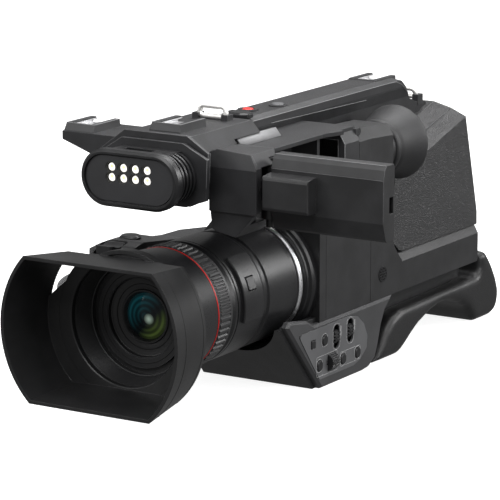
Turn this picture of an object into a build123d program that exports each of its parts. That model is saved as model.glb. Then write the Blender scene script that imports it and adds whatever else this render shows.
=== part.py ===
from build123d import *
import math
import os

# Shoulder camcorder. +X is the camcorder's left side, +Y runs towards its back, +Z is up.
# The origin is the centre of the tripod thread's mouth, on the flat base. All sizes are in mm.

# ---- driving dimensions -----------------------------------------------------------------
WALL = 2.5                # casing wall
GAP = 0.3                 # clearance between pieces that move past each other
LENS_Z = 68.5             # height of the lens axis above the base
HALF_WIDTH = 44.0         # half the width of the body
BODY_FRONT = -14.0
BODY_REAR = 200.0
BODY_BOTTOM = 43.0
BODY_TOP = 116.0
BAND_TOP = 69.2           # top of the low rear part of the body, under the rear box
STEP_Y = 79.6             # where the tall front part of the body ends

HOOD_FRONT = -208.0
HOOD_REAR = -168.0
HOOD_FRONT_R = 63.5
HOOD_REAR_R = 57.4
HOOD_TOP = (39.8, 43.8)     # flat top above the lens axis, at the rear and at the front
HOOD_LOW = (42.6, 46.6)     # flat bottom below the lens axis, at the rear and at the front
HOOD_WALL = 2.2
TUBE_R = 34.5             # lens tube that carries all the barrel rings
TUBE_BORE = 31.5
FILTER_R = 24.5           # filter thread
GLASS_R = 14.3
RING_Y = (-123.7, -108.3)  # lens control ring
RING_R = 39.5
PAD_ANGLE = 20.0          # where the lens button sits around the barrel, above the horizontal
LENS_BUTTON_Y = -88.0

HANDLE_HALF = 15.0        # half width of the handle bar
HANDLE_TOP = 177.0
HANDLE_SPLIT = 169.5      # seam between the handle and its top cover
HANDLE_UNDER = 157.0
HANDLE_FRONT = -60.0
HANDLE_REAR = 140.0

LIGHT_Z = 155.2
LIGHT_FRONT = -164.0
LIGHT_W = 70.0
LIGHT_H = 35.0

LCD_X = (68.0, 144.8)     # panel, opened at right angles to the body
LCD_Y = (-112.0, -98.6)
LCD_Z = (123.5, 169.5)
LCD_SWING = (60.0, -100.0)  # x and y of the upright swing axis
LCD_TILT = (-112.0, 147.5)  # y and z of the tilt axis

VF_X = 40.0               # viewfinder axis
VF_Z = 147.5
EYE_Z = 143.5             # the eyepiece sits a little lower than the tube's front
VF_PIVOT = (16.8, 162.4)  # y and z of the viewfinder's hinge pin

THREAD_R = 3.175          # quarter-inch tripod thread
THREAD_DEPTH = 8.0
PIN_R = 2.25
PIN_Y = 13.0
SHOE_SLOT = 18.7          # accessory shoe: width between its side walls
SHOE_MOUTH = 12.8         # width between its lips
SHOE_SHEET = 0.6          # thickness of its bent sheet


# ---- helpers ----------------------------------------------------------------------------
def block(x, y, z):
    """Box between two limits on each axis."""
    size = Box(x[1] - x[0], y[1] - y[0], z[1] - z[0])
    return Pos((x[0] + x[1]) / 2, (y[0] + y[1]) / 2, (z[0] + z[1]) / 2) * size


def outline(points, corner):
    """Closed outline with every corner rounded by the same radius."""
    sketch = Polygon(*points, align=None)
    if corner:
        sketch = fillet(sketch.vertices(), corner)
    return sketch


def side_prism(points, x, corner=0):
    """Outline of (y, z) points carried across the width."""
    return extrude(Plane.YZ.offset(x[0]) * outline(points, corner), amount=x[1] - x[0], dir=(1, 0, 0))


def end_prism(points, y, corner=0):
    """Outline of (x, z) points carried along the length."""
    return extrude(Plane.XZ.offset(-y[1]) * outline(points, corner), amount=y[1] - y[0], dir=(0, -1, 0))


def plan_prism(points, z, corner=0):
    """Outline of (x, y) points carried upwards."""
    return extrude(Plane.XY.offset(z[0]) * outline(points, corner), amount=z[1] - z[0], dir=(0, 0, 1))


def turned(profile, x=0.0, z=LENS_Z):
    """Profile of (radius, y) points turned about a line along Y."""
    return Pos(x, 0, z) * revolve(make_face(Polyline(*profile, close=True)), Axis.Y)


def rod_x(radius, x, y, z):
    """Cylinder along X."""
    turn = Pos((x[0] + x[1]) / 2, y, z) * Rot(0, 90, 0)
    return turn * Cylinder(radius, x[1] - x[0])


def rod_y(radius, y, x, z):
    """Cylinder along Y."""
    turn = Pos(x, (y[0] + y[1]) / 2, z) * Rot(90, 0, 0)
    return turn * Cylinder(radius, y[1] - y[0])


def rod_z(radius, z, x, y):
    """Upright cylinder."""
    return Pos(x, y, (z[0] + z[1]) / 2) * Cylinder(radius, z[1] - z[0])


def stadium(width, height, y, x=0.0, z=LIGHT_Z):
    """Round-ended slab facing forward."""
    face = Plane.XZ.offset(-y[1]) * Pos(x, z) * SlotOverall(width, height)
    return extrude(face, amount=y[1] - y[0])


def edge_break(part, axis, side, size):
    """Chamfer around the end face that lies furthest along an axis."""
    return chamfer(part.faces().sort_by(axis)[side].edges(), size)


def on_barrel(part, angle):
    """Turns a part that was built on the left of the lens to an angle around the lens."""
    return Pos(0, 0, LENS_Z) * (Rot(0, -angle, 0) * (Pos(0, 0, -LENS_Z) * part))


# ---- lens -------------------------------------------------------------------------------
def hood_body(inset, past):
    """Cone with a flat top and bottom, reaching a little past both ends of the hood."""
    def at(y, rear, front):
        return rear + (front - rear) * (y - HOOD_REAR) / (HOOD_FRONT - HOOD_REAR) - inset

    front = HOOD_FRONT - past
    rear = HOOD_REAR + past
    cone = turned([(0, rear), (at(rear, HOOD_REAR_R, HOOD_FRONT_R), rear),
                   (at(front, HOOD_REAR_R, HOOD_FRONT_R), front), (0, front)])
    flats = side_prism([(rear, LENS_Z - at(rear, *HOOD_LOW)), (rear, LENS_Z + at(rear, *HOOD_TOP)),
                        (front, LENS_Z + at(front, *HOOD_TOP)), (front, LENS_Z - at(front, *HOOD_LOW))],
                       (-HOOD_FRONT_R, HOOD_FRONT_R))
    return cone & flats


def lens_hood():
    """Shade with a mounting plate and a skirt behind it; its two upper corners stay open."""
    shell = hood_body(0, 0) - hood_body(HOOD_WALL, 1)
    plate = turned([(39, -165.5), (39, -168.4), (39.6, -169), (47.5, -169.6), (47.5, -165.5)])
    flats = block((-60, 60), (-172, -160), (LENS_Z - HOOD_LOW[0], LENS_Z + HOOD_TOP[0]))
    skirt = turned([(42.05, -166.5), (42.05, -164.2), (41.61, -159), (44.2, -159), (44.6, -164.6),
                    (44.6, -166.5)])
    cheek = turned([(46.5, -165.5), (46.5, -169.4), (56.4, -170.4), (57, -168.4), (55.6, -166.4),
                    (53, -165.5)])
    corners = end_prism([(60, LENS_Z - HOOD_LOW[0]), (60, LENS_Z + 6.3), (41.2, LENS_Z + 22.5),
                         (-41.2, LENS_Z + 22.5), (-60, LENS_Z + 6.3), (-60, LENS_Z - HOOD_LOW[0])],
                        (-172, -160))
    return shell + (plate & flats) + skirt + (cheek & corners)


def front_barrel():
    return turned([(TUBE_R, -125.1), (38.7, -125.1), (42, -164.2), (40.2, -164.2), (38.5, -154),
                   (38.5, -140), (TUBE_R, -140)])


def lens_bezel():
    """Stepped ring inside the barrel's mouth: filter thread, then the seat of the front glass."""
    lip = [(38.4, -154), (40.05, -164.3), (41.6, -164.3), (41.6, -165.1), (39.9, -165.1), (39, -164.7)]
    steps = [(35.6, -152.5), (34.8, -152.5), (34.8, -149), (31.2, -149), (30.9, -151.2), (25.2, -151.2)]
    thread = [(FILTER_R, -150.6), (FILTER_R, -147.6), (23.9, -147.2), (17.1, -146.4), (16.4, -147.3)]
    seat = [(15.6, -147.3), (15.3, -146.8), (GLASS_R + 0.05, -144.6), (GLASS_R + 0.05, -143.7)]
    return turned(lip + steps + thread + seat + [(12.6, -143.7), (12.6, -141), (38.4, -141)])


def dome(radius, rise, front, rear):
    """Lens element: a disc whose front face bulges forward like part of a ball."""
    ball_r = (radius ** 2 + rise ** 2) / (2 * rise)
    ball = Pos(0, front - rise + ball_r, LENS_Z) * Sphere(ball_r)
    return rod_y(radius, (front - rise, rear), 0, LENS_Z) & ball


def front_element():
    return dome(GLASS_R, 2.4, -144.6, -143.8)


GROUPS = ((-134, -127), (-94, -86), (-52, -43))


def inner_lenses():
    return [dome(19, 2.4, y[0] + 2.4, y[1]) for y in GROUPS]


def iris_unit():
    plate = turned([(7.5, -72), (TUBE_BORE, -72), (TUBE_BORE, -69), (7.5, -69)])
    motor = block((12, 22), (-69, -60), (LENS_Z - 6, LENS_Z + 6))
    return plate + motor


def lens_tube():
    """Tube that carries the barrel rings outside and the lens groups inside."""
    tube = turned([(TUBE_BORE, -137.8), (TUBE_R, -137.8), (TUBE_R, -11.5), (TUBE_BORE, -11.5)])
    for front, rear in GROUPS:
        tube += turned([(19.05, front), (TUBE_BORE + 0.5, front), (TUBE_BORE + 0.5, rear), (19.05, rear)])
    return tube


def red_ring():
    return turned([(TUBE_R, -124.8), (38.9, -124.8), (38.9, -124.2), (TUBE_R, -124.2)])


def ribbed_outline(root, tip):
    """Outline of the ring's ribs: wide ribs all round, and narrow ones on one stretch."""
    points = []
    angle = 0.0
    while angle < 359.9:
        pitch = 3.0 if angle < 36 else 6.0
        for share, radius in ((0, root), (0.2, tip), (0.6, tip), (0.8, root)):
            turn = math.radians(angle + pitch * share)
            points.append((radius * math.cos(turn), radius * math.sin(turn)))
        angle += pitch
    return points


def focus_ring():
    ribs = Pos(0, 0, LENS_Z) * end_prism(ribbed_outline(38.5, RING_R), (RING_Y[0] + 1.2, RING_Y[1] - 3.2))
    core = turned([(TUBE_R + 0.35, RING_Y[0]), (38.4, RING_Y[0]), (38.9, RING_Y[0] + 0.8),
                   (38.9, RING_Y[0] + 1.2), (38.6, RING_Y[0] + 1.3), (38.6, RING_Y[1] - 3.3),
                   (39, RING_Y[1] - 3.2), (39, RING_Y[1] - 1), (38.4, RING_Y[1]),
                   (TUBE_R + 0.35, RING_Y[1])])
    bore = turned([(0, RING_Y[0] - 1), (TUBE_R + 0.35, RING_Y[0] - 1), (TUBE_R + 0.35, RING_Y[1] + 1),
                   (0, RING_Y[1] + 1)])
    return (ribs + core) - bore


def button_barrel():
    """Fixed ring with a raised quarter that carries the lens button."""
    barrel = turned([(TUBE_R, -108), (37.2, -108), (38.9, -105), (38.9, -103), (38.2, -102.8),
                     (38.2, -102), (38.9, -101.8), (38.9, -73), (38.2, -71), (TUBE_R, -71)])
    raised = turned([(37, -98), (40.6, -98), (41.2, -97.4), (41.2, -76.6), (40.6, -76), (37, -76)])
    wedge = end_prism([(0, LENS_Z), (60, LENS_Z - 14), (60, LENS_Z + 66.6)], (-100, -74))
    pocket = on_barrel(block((36.8, 50), (LENS_BUTTON_Y - 4.6, LENS_BUTTON_Y + 4.6),
                             (LENS_Z - 4.6, LENS_Z + 4.6)), PAD_ANGLE)
    return barrel + (raised & wedge) - pocket


def lens_button():
    plug = block((38.1, 41.7), (LENS_BUTTON_Y - 4.2, LENS_BUTTON_Y + 4.2), (LENS_Z - 4.2, LENS_Z + 4.2))
    plug = fillet(plug.edges().filter_by(Axis.X), 1.2)
    return on_barrel(edge_break(plug, Axis.X, -1, 0.4), PAD_ANGLE)


def rear_barrel():
    return turned([(TUBE_R, -70.8), (37.3, -70.8), (37.3, -66), (38.4, -65), (38.4, -36),
                   (36.6, -33.5), (36.6, -28.2), (TUBE_R, -28.2)])


def chrome_ring():
    return turned([(TUBE_R, -28), (37.4, -28), (38.3, -27), (38.3, -25.4), (37.4, -24.4), (TUBE_R, -24.4)])


def lens_base():
    return turned([(TUBE_R, -24.2), (37.2, -24.2), (37.2, -21.5), (39, -21), (39.6, -20), (41.4, -19.2),
                   (42.4, -17.5), (42.4, -14), (TUBE_R, -14)])


# ---- body -------------------------------------------------------------------------------
def body_form(inset):
    """Low rear band with a bevelled top, joined to a tall block behind the lens."""
    half = HALF_WIDTH - inset
    front = BODY_FRONT + inset
    rear = BODY_REAR - inset
    low = BODY_BOTTOM + inset
    band_top = BAND_TOP - inset
    step = STEP_Y - inset
    roof = BODY_TOP - inset
    band = side_prism([(front, low), (rear, low), (rear, band_top), (front, band_top)], (-half, half), 2)
    bevel = end_prism([(-half, low - 5), (half, low - 5), (half, 62.8 - inset / 2), (half - 3.5, band_top),
                       (-half + 3.5, band_top), (-half, 62.8 - inset / 2)], (front - 5, rear + 5))
    tall = side_prism([(front, low), (step + 14, low), (step + 13, 64), (step + 7, 69.8), (step + 3, 74.5),
                       (step + 0.9, 80), (step, 90), (step - 4, roof), (front, roof)], (-half, half))
    shoulders = end_prism([(-half, low - 5), (half, low - 5), (half, BODY_TOP - 12), (half - 10, roof),
                           (-half + 20, roof), (-half, BODY_TOP - 24)], (front - 5, STEP_Y + 20))
    return (band & bevel) + (tall & shoulders)


def body_half(x):
    shell = body_form(0) - body_form(WALL)
    shell -= rod_y(TUBE_R, (BODY_FRONT - 1, BODY_FRONT + WALL + 1), 0, LENS_Z)
    return shell & block(x, (-300, 300), (0, 300))


SPEAKER = (67.0, 59.0)


def left_case():
    half = body_half((0, HALF_WIDTH + 1))
    return half - rod_x(5.2, (HALF_WIDTH - WALL - 1, HALF_WIDTH + 1), *SPEAKER)


def right_case():
    return body_half((-HALF_WIDTH - 1, 0))


def speaker_grille():
    grille = rod_x(5.2, (HALF_WIDTH - WALL, HALF_WIDTH + 0.4), *SPEAKER)
    holes = []
    for ring, count in ((0, 1), (1.9, 6), (3.8, 12)):
        for step in range(count):
            turn = 2 * math.pi * step / count
            holes.append(rod_x(0.55, (HALF_WIDTH - WALL - 1, HALF_WIDTH + 1),
                               SPEAKER[0] + ring * math.cos(turn), SPEAKER[1] + ring * math.sin(turn)))
    return grille - holes


def belly_outline(inset):
    """Side view of the belly: it sweeps up forward under the lens and ends at the shoulder pad."""
    return [(-58 + inset * 2.2, 46), (-18 + inset * 0.6, inset), (35, inset), (48 - inset, 3.5 + inset),
            (57.5 - inset, 17), (69 - inset, 41), (69 - inset, BODY_BOTTOM), (-14 + inset, BODY_BOTTOM),
            (-14.2 + inset, 46)]


def lower_cover():
    side = 41.0
    form = side_prism(belly_outline(0), (-side, side)) - lens_trough()
    hollow = side_prism(belly_outline(WALL), (-side + WALL, side - WALL))
    hollow -= rod_y(47, (-70, BODY_FRONT + 1), 0, LENS_Z)
    cover = form - hollow - rod_y(TUBE_R, (BODY_FRONT - 2, -11), 0, LENS_Z)
    cover -= dial_room()
    boss = block((-16, 16), (-12, 26), (0, THREAD_DEPTH + 2))
    return (cover + boss) - block((-13, 13), (-9, 23), (-1, THREAD_DEPTH))


def dial_room():
    half = DIAL_W / 2 + 0.5
    return block((38, BLOCK_X[1]), (DIAL[0] - half, DIAL[0] + half), (DIAL[1] - DIAL_R - 0.5,
                                                                      DIAL[1] + DIAL_R + 0.5))


def lens_trough():
    """Room under the lens for its barrel."""
    return rod_y(43.4, (-80, BODY_FRONT), 0, LENS_Z) + block((-30, 30), (-80, BODY_FRONT), (46, 90))


def tripod_plate():
    plate = block((-13, 13), (-9, 23), (0, THREAD_DEPTH))
    thread = rod_z(THREAD_R, (-1, THREAD_DEPTH + 1), 0, 0)
    pin = rod_z(PIN_R, (-1, 6), 0, PIN_Y)
    return plate - thread - pin


BLOCK_X = (41.0, 45.6)
PLATE_FACE = 45.9


def control_block():
    face = side_prism([(-56, 47.8), (-52.5, 51), (-31, 47.5), (-22, 43), (79, 43), (73.5, 39.5),
                       (68.1, 34.5), (63.4, 26), (59.4, 13.6), (55.6, 5.4), (48, 0.8), (40, 0),
                       (-14, 0)], BLOCK_X)
    face = edge_break(face, Axis.X, -1, 1.6)
    face = face - plate_slab(0, (PLATE_FACE - 1.2, 50)) - switch_pockets()
    for y in (DIAL[0] - DIAL_W / 2 - 1.4, DIAL[0] + DIAL_W / 2 + 0.4):
        face += block((BLOCK_X[0], PLATE_FACE - 1.3), (y, y + 1), (DIAL[1] - 1.6, DIAL[1] + 1.6))
    return face + dial_axle()


def plate_slab(shrink, x):
    """Control plate outline: slanted front edge and a rounded rear end."""
    shape = outline([(-43, 40.5), (20, 41), (31, 38.6), (39.5, 32), (44.2, 23), (43.4, 15), (35, 8.8),
                     (26, 6.4), (-17, 6.4)], 2.5)
    if shrink:
        shape = offset(shape, amount=-shrink)
    return extrude(Plane.YZ.offset(x[0]) * shape, amount=x[1] - x[0], dir=(1, 0, 0))


def switch_pockets():
    """Room behind the plate for the buttons, switches and dial."""
    depth = (BLOCK_X[0] + 1, PLATE_FACE)
    pocket = block(depth, (-28, 28), (10, 38.2)) + block(depth, (28, 35), (10, 26))
    return (pocket - block((BLOCK_X[0], PLATE_FACE), (-29, -20.7), (9, 24))) + dial_room()


OVALS = {"menu_button": (-16.9, 15.6), "focus_mode_button": (-10.6, 31.1),
         "gain_button": (12.7, 14.0), "white_balance_button": (31.2, 14.2)}
OVAL_SIZE = (6.2, 7.2)
SQUARE = (-24.8, 31.1)
SQUARE_SIZE = 5.2
SLOTS = {"shutter_switch": (4.2, 30.5), "filter_switch": (21.8, 31.0)}
SLOT_SIZE = (7.6, 15.8)
DIAL = (-2.0, 15.4)
DIAL_R = 5.6
DIAL_X = 44.4
DIAL_W = 8.6


def pill(centre, width, height, x):
    """Upright round-ended plug facing left."""
    face = Plane.YZ.offset(x[0]) * Pos(*centre) * Rot(0, 0, 90) * SlotOverall(height, width)
    return extrude(face, amount=x[1] - x[0])


def control_plate():
    plate = plate_slab(0.15, (PLATE_FACE - 1.2, PLATE_FACE))
    for centre in OVALS.values():
        plate -= pill(centre, OVAL_SIZE[0] + 2 * GAP, OVAL_SIZE[1] + 2 * GAP, (40, 50))
    for centre in SLOTS.values():
        plate -= pill(centre, *SLOT_SIZE, (40, 50))
    plate -= rod_box(SQUARE, SQUARE_SIZE + 2 * GAP)
    for half, tall in ((DIAL_W / 2 + 0.5, DIAL_R + 0.4), (DIAL_W / 2 + 1.6, 1.5)):
        plate -= block((40, 50), (DIAL[0] - half, DIAL[0] + half), (DIAL[1] - tall, DIAL[1] + tall))
    return plate


def rod_box(centre, size):
    half = size / 2
    return block((40, 50), (centre[0] - half, centre[0] + half), (centre[1] - half, centre[1] + half))


def oval_button(centre):
    button = pill(centre, *OVAL_SIZE, (PLATE_FACE - 2.2, PLATE_FACE + 0.9))
    return edge_break(button, Axis.X, -1, 0.5)


def square_button():
    plug = rod_box(SQUARE, SQUARE_SIZE) & block((PLATE_FACE - 2.2, PLATE_FACE + 0.6), (-40, 0), (0, 50))
    return edge_break(plug, Axis.X, -1, 0.4)


def slide_switch(centre):
    """Thumb piece that sits low in its slot, with a raised grip bar."""
    base = pill(centre, SLOT_SIZE[0] - 2 * GAP, 8.6, (PLATE_FACE - 2.2, PLATE_FACE - 0.4))
    grip = [block((PLATE_FACE - 0.4, PLATE_FACE + 1.1), (centre[0] - 2.8, centre[0] + 2.8),
                  (centre[1] + rise - 0.5, centre[1] + rise + 0.5)) for rise in (-2.2, 0, 2.2)]
    return base + grip[0] + grip[1] + grip[2]


def menu_dial():
    points = []
    teeth = 24
    for tooth in range(teeth):
        for share, radius in ((0, DIAL_R - 0.5), (0.25, DIAL_R), (0.6, DIAL_R), (0.85, DIAL_R - 0.5)):
            turn = 2 * math.pi * (tooth + share) / teeth
            points.append((radius * math.cos(turn), radius * math.sin(turn)))
    wheel = end_prism(points, (DIAL[0] - DIAL_W / 2, DIAL[0] + DIAL_W / 2))
    return Pos(DIAL_X, 0, DIAL[1]) * (wheel - rod_y(1.3, (-20, 20), 0, 0))


def dial_axle():
    return rod_y(1.25, (DIAL[0] - DIAL_W / 2 - 1.4, DIAL[0] + DIAL_W / 2 + 1.4), DIAL_X, DIAL[1])


def circuit_boards():
    """Main board along the right wall with its chips, and the image sensor board behind the lens."""
    main = block((-36, -34.4), (0, 180), (47, 64))
    for y in (12, 40, 70, 110, 145):
        main += block((-34.4, -32), (y, y + 14), (50, 60))
    sensor = block((-22, 22), (-7.6, -6), (LENS_Z - 20, LENS_Z + 20))
    sensor += block((-6, 6), (-9.4, -7.6), (LENS_Z - 5, LENS_Z + 5))
    return [main, sensor]


# ---- shoulder pad -----------------------------------------------------------------------
def pad_outline():
    """Side view: rising front nose, flat top under the body, rear bumper and the shoulder's arch."""
    upper = [(60, 0), (66.5, 8), (74.5, 18.5), (84, 26), (96, 29.8), (202, 31.5), (206, 35.5), (205.5, 46)]
    bumper = [(210, 47.6), (215, 47), (223, 38), (230, 27.5), (235, 16.5), (234, 8), (230, 2), (224, 0)]
    arch = [(199, 0), (193.5, 6), (189, 11.5), (180, 17), (166, 21.5), (150, 22.5), (136, 20), (118, 14),
            (107, 8), (97, 2), (92, 0)]
    return upper + bumper + arch


def shoulder_pad():
    pad = side_prism(pad_outline(), (-HALF_WIDTH, HALF_WIDTH))
    pad = edge_break(edge_break(pad, Axis.X, -1, PAD_EDGE), Axis.X, 0, PAD_EDGE)
    pad -= block((-31, 31), (90, 197), (26, 36))
    return pad - screw_holes()


PAD_EDGE = 3.0
PAD_SCREWS = [(x, y) for x in (-20, 20) for y in (148, 168)]


def screw_holes():
    return [rod_z(1.5, (22, 40), x, y) + rod_z(3.2, (10, 23.6), x, y) for x, y in PAD_SCREWS]


def pad_bracket():
    """Stiff carrier between the pad and the underside of the body."""
    tray = block((-31, 31), (90, 197), (26, BODY_BOTTOM))
    tray -= block((-27, 27), (94, 193), (30, BODY_BOTTOM + 1))
    return tray - screw_holes()


# ---- rear box and battery ---------------------------------------------------------------
BOX_FRONT = 80.2


def box_top(y):
    return 155 - (188 - y) * math.tan(math.radians(16))


def box_section(y, inset):
    top = box_top(y) - inset
    low = BAND_TOP + inset
    wide = HALF_WIDTH - inset
    face = Polygon((wide - 0.6, low), (wide - 4, top - 9), (29 - inset / 2, top - 3.6), (16, top),
                   (-16, top), (-29 + inset / 2, top - 3.6), (-wide + 4, top - 9), (-wide + 0.6, low),
                   align=None)
    return Plane.XZ.offset(-y) * face


def box_form(inset):
    long = loft([box_section(70, inset), box_section(210, inset)], ruled=True)
    low = BAND_TOP
    side = side_prism([(BOX_FRONT + inset, 92), (BOX_FRONT + 0.9 + inset, 82),
                       (BOX_FRONT + 4 + inset, 75.5), (BOX_FRONT + 9 + inset, 71.2),
                       (BOX_FRONT + 15 + inset, low), (199 - inset, low),
                       (199.5 - inset, 78), (184.5 - inset, 160), (106 + inset, 160),
                       (BOX_FRONT + 3 + inset, 100)], (-60, 60))
    return long & side


def rear_box():
    case = box_form(0) - box_form(WALL)
    floor = block((-36, 36), (98, 170), (BAND_TOP - 1, BAND_TOP + WALL + 1))
    bay = battery_bay(0.4)
    case = (case + (box_form(0) & battery_bay(2.4))) - bay - floor
    return case - block((-9.4, 13.4), (190, 205), (73.1, 79.4))


def battery_bay(grow):
    return block((-23 - grow, 23 + grow), (168 - grow, 205), (82 - grow, 136 + grow))


def battery_pack():
    pack = block((-23, 23), (168, 205), (82, 136)) & box_form(0.3)
    return pack


def battery_latch():
    latch = block((-9, 9), (194.6, 200.8), (73.5, 79))
    return edge_break(fillet(latch.edges().filter_by(Axis.Y), 1.5), Axis.Y, -1, 0.5)


# ---- handle -----------------------------------------------------------------------------
def handle_side():
    """Side view of the whole handle with its front leg and its rear leg."""
    return [(-52, 100), (BODY_FRONT, 100), (BODY_FRONT, BODY_TOP), (14, BODY_TOP), (-8, 136),
            (-18, 152), (-10, HANDLE_UNDER), (78, HANDLE_UNDER), (97, 148), (107, box_top(107)),
            (181, box_top(181)), (180, 155), (166, 156.5), (158, 159.5), (151, 167), (142, 174.3),
            (HANDLE_REAR - 6, HANDLE_TOP), (-60, HANDLE_TOP), (-60, 150), (-50, 140)]


def handle_section(half):
    """Front view of the bar: chamfered top, upright edge, tapered underside."""
    return [(-half + 4.5, HANDLE_TOP), (half - 4.5, HANDLE_TOP), (half, HANDLE_TOP - 2.2), (half, 170),
            (half - 2.2, 162), (half - 5, 100), (-half + 5, 100), (-half + 2.2, 162), (-half, 170),
            (-half, HANDLE_TOP - 2.2)]


def handle_form():
    bar = side_prism(handle_side(), (-HANDLE_HALF, HANDLE_HALF))
    return bar & end_prism(handle_section(HANDLE_HALF), (-70, 200))


def handle_core():
    core = handle_form() & block((-30, 30), (-100, 250), (100, HANDLE_SPLIT))
    hollow = side_prism([(-50, 150), (-12, HANDLE_UNDER + 3), (84, HANDLE_UNDER + 3), (110, 150),
                         (130, 168), (-50, 168)], (-HANDLE_HALF + 5, HANDLE_HALF - 5))
    barrel = rod_y(39.0, (-60, -22.3), 0, LENS_Z) + rod_y(42.8, (-22.4, BODY_FRONT), 0, LENS_Z)
    return core - hollow - key_wells() - barrel + eyelet_lugs("rear")


def handle_cover():
    """Top of the handle, with a raised ring around the record button and another around the menu key."""
    top = handle_form() & block((-30, 30), (-100, 250), (HANDLE_SPLIT, 200))
    rings = rod_z(RECORD_R + 2.8, (HANDLE_TOP - 1, HANDLE_TOP + 1.3), *RECORD)
    rings += rod_z(MENU_KEY_R + 1.7, (HANDLE_TOP - 1, HANDLE_TOP + 0.9), *MENU_KEY)
    seat = shoe_seat("rear") & block((-30, 30), (100, 150), (HANDLE_SPLIT, 200))
    return top + rings + seat - shoe_pocket("rear") - key_wells()


RECORD = (-2.0, -26.0)
RECORD_R = 3.8
MENU_KEY = (4.5, -0.5)
MENU_KEY_R = 4.2
LEVER = (5.0, -49.0)


def key_wells():
    """Openings for the record button, the keys and the zoom lever, and room under them."""
    wells = rod_z(RECORD_R + GAP, (165, 190), *RECORD)
    wells += rod_z(MENU_KEY_R + GAP, (165, 190), *MENU_KEY)
    return wells + rod_z(2.7, (165, 190), *LEVER)


def record_button():
    button = rod_z(RECORD_R, (171, HANDLE_TOP + 1.6), *RECORD)
    return edge_break(button, Axis.Z, -1, 0.8)


def menu_key():
    button = rod_z(MENU_KEY_R, (171, HANDLE_TOP + 1.8), *MENU_KEY)
    return edge_break(button, Axis.Z, -1, 0.6)


def handle_zoom_lever():
    """Rocking lever on a short pivot post."""
    post = rod_z(2.4, (171, HANDLE_TOP + 0.3), *LEVER)
    plan = [(-8, -5), (5, -6), (9.5, -3), (9.5, 3), (5, 6), (-8, 5)]
    top = plan_prism(plan, (HANDLE_TOP + 0.3, HANDLE_TOP + 3.5), 2.2)
    top = edge_break(top, Axis.Z, -1, 1)
    return post + Pos(LEVER[0], LEVER[1], 0) * top


# ---- front housing, light and side arm --------------------------------------------------
HOUSING_TOP = 178.5


def housing_section():
    """Eight-sided front view of the housing at the front of the handle."""
    return [(-39, 142), (-39, 167), (-22, HOUSING_TOP), (22, HOUSING_TOP), (30, 169), (30, 142), (20, 138),
            (-30, 138)]


def front_housing():
    """Head of the handle: it carries the light in front, two shoes, a strap loop and the side arm."""
    form = end_prism(housing_section(), (-131.5, HANDLE_FRONT)) + light_frame() + side_arm()
    hollow = end_prism([(-36, 144), (-36, 165), (-21, 175.5), (21, 175.5), (21, 144), (18, 141),
                         (-28, 141)], (-128, -64))
    ledge = block((24, 45), (-90, -50), (130, 171.3))
    return form + shoe_seat("front") + eyelet_lugs("front") - hollow - ledge - shoe_pocket("front")


def light_frame():
    """Stepped ridges that join the light to the housing."""
    front = end_prism([(-39, 142), (-40, 164), (-22, 175.5), (22, 175.5), (39, 167), (38, 142),
                       (24, 137), (-26, 137)], (-138, -135))
    middle = end_prism([(-36, 144), (-36, 163), (-21, 173), (21, 173), (34, 165.5), (34, 144),
                        (22, 140), (-26, 140)], (-135, -133.5))
    rear = end_prism([(-40, 142), (-41, 166), (-23, 179.3), (22, 179.3), (37, 170), (36, 142),
                      (24, 136.5), (-28, 136.5)], (-133.5, -131))
    return front + middle + rear


def heat_sink():
    """Light body: smooth across the middle with a vent in its top, finned at both ends."""
    hull = block((-21, 21), (-158, -138), (LIGHT_Z - 15.6, LIGHT_Z + 15.6)) + stadium(50, 18, (-158, -138))
    for y in (-157.2, -153.4, -149.6, -145.8, -142):
        hull += stadium(65, 31.6, (y, y + 1.7))
    vent = block((-13, 7), (-152.4, -144.4), (LIGHT_Z + 12.6, LIGHT_Z + 20))
    return hull - vent


def light_bezel():
    """Rounded rim in front of the light, with a groove around the face it frames."""
    bezel = stadium(LIGHT_W, LIGHT_H, (LIGHT_FRONT, -158))
    bezel = edge_break(bezel, Axis.Y, 0, 1.6)
    bezel -= stadium(LIGHT_W - 6, LIGHT_H - 6, (LIGHT_FRONT - 1, -162.2))
    return bezel - stadium(LIGHT_W - 7.4, LIGHT_H - 7.4, (-163, -159.4))


LED_X = [-0.9 + 8.45 * (column - 1.5) for column in range(4)]
LED_Z = [LIGHT_Z + 6.6, LIGHT_Z + 0.3]


def light_panel():
    panel = stadium(LIGHT_W - 7.6, LIGHT_H - 7.6, (-162.8, -159.4))
    wells = [rod_y(3.5, (-164, -159.9), x, z) for x in LED_X for z in LED_Z]
    return panel - wells


def light_leds():
    """Eight lamps, each on the floor of its own well."""
    return [rod_y(2.6, (-160.9, -159.9), x, z) for x in LED_X for z in LED_Z]


def side_arm():
    """Arm on the right side that carries a second accessory shoe."""
    form = end_prism([(-37, 151), (-55.8, 160.2), (-75.6, 167), (-76, 168), (-76, 172.2), (-37, 172.2)],
                     (-124, -86))
    nose = plan_prism([(-90, -130), (-90, -112), (-75, -124.5), (-66, -130)], (140, 180))
    tail = plan_prism([(-90, -75), (-90, -98), (-70, -85), (-66, -80)], (140, 180))
    hollow = end_prism([(-41.5, 155), (-56, 162.5), (-68, 166.9), (-68, 168), (-41.5, 168)], (-112, -92))
    return (form - nose - tail + shoe_seat("arm")) - hollow - shoe_pocket("arm")


SHOES = {"front": (0.0, -121.0, -95.0, 179.2), "arm": (-64.5, -119.0, -93.0, 172.6),
         "rear": (0.0, 116.0, 141.0, HANDLE_TOP - 3.6)}
SEAT_SINK = 4.0
SEAT_RISE = 4.4


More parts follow.
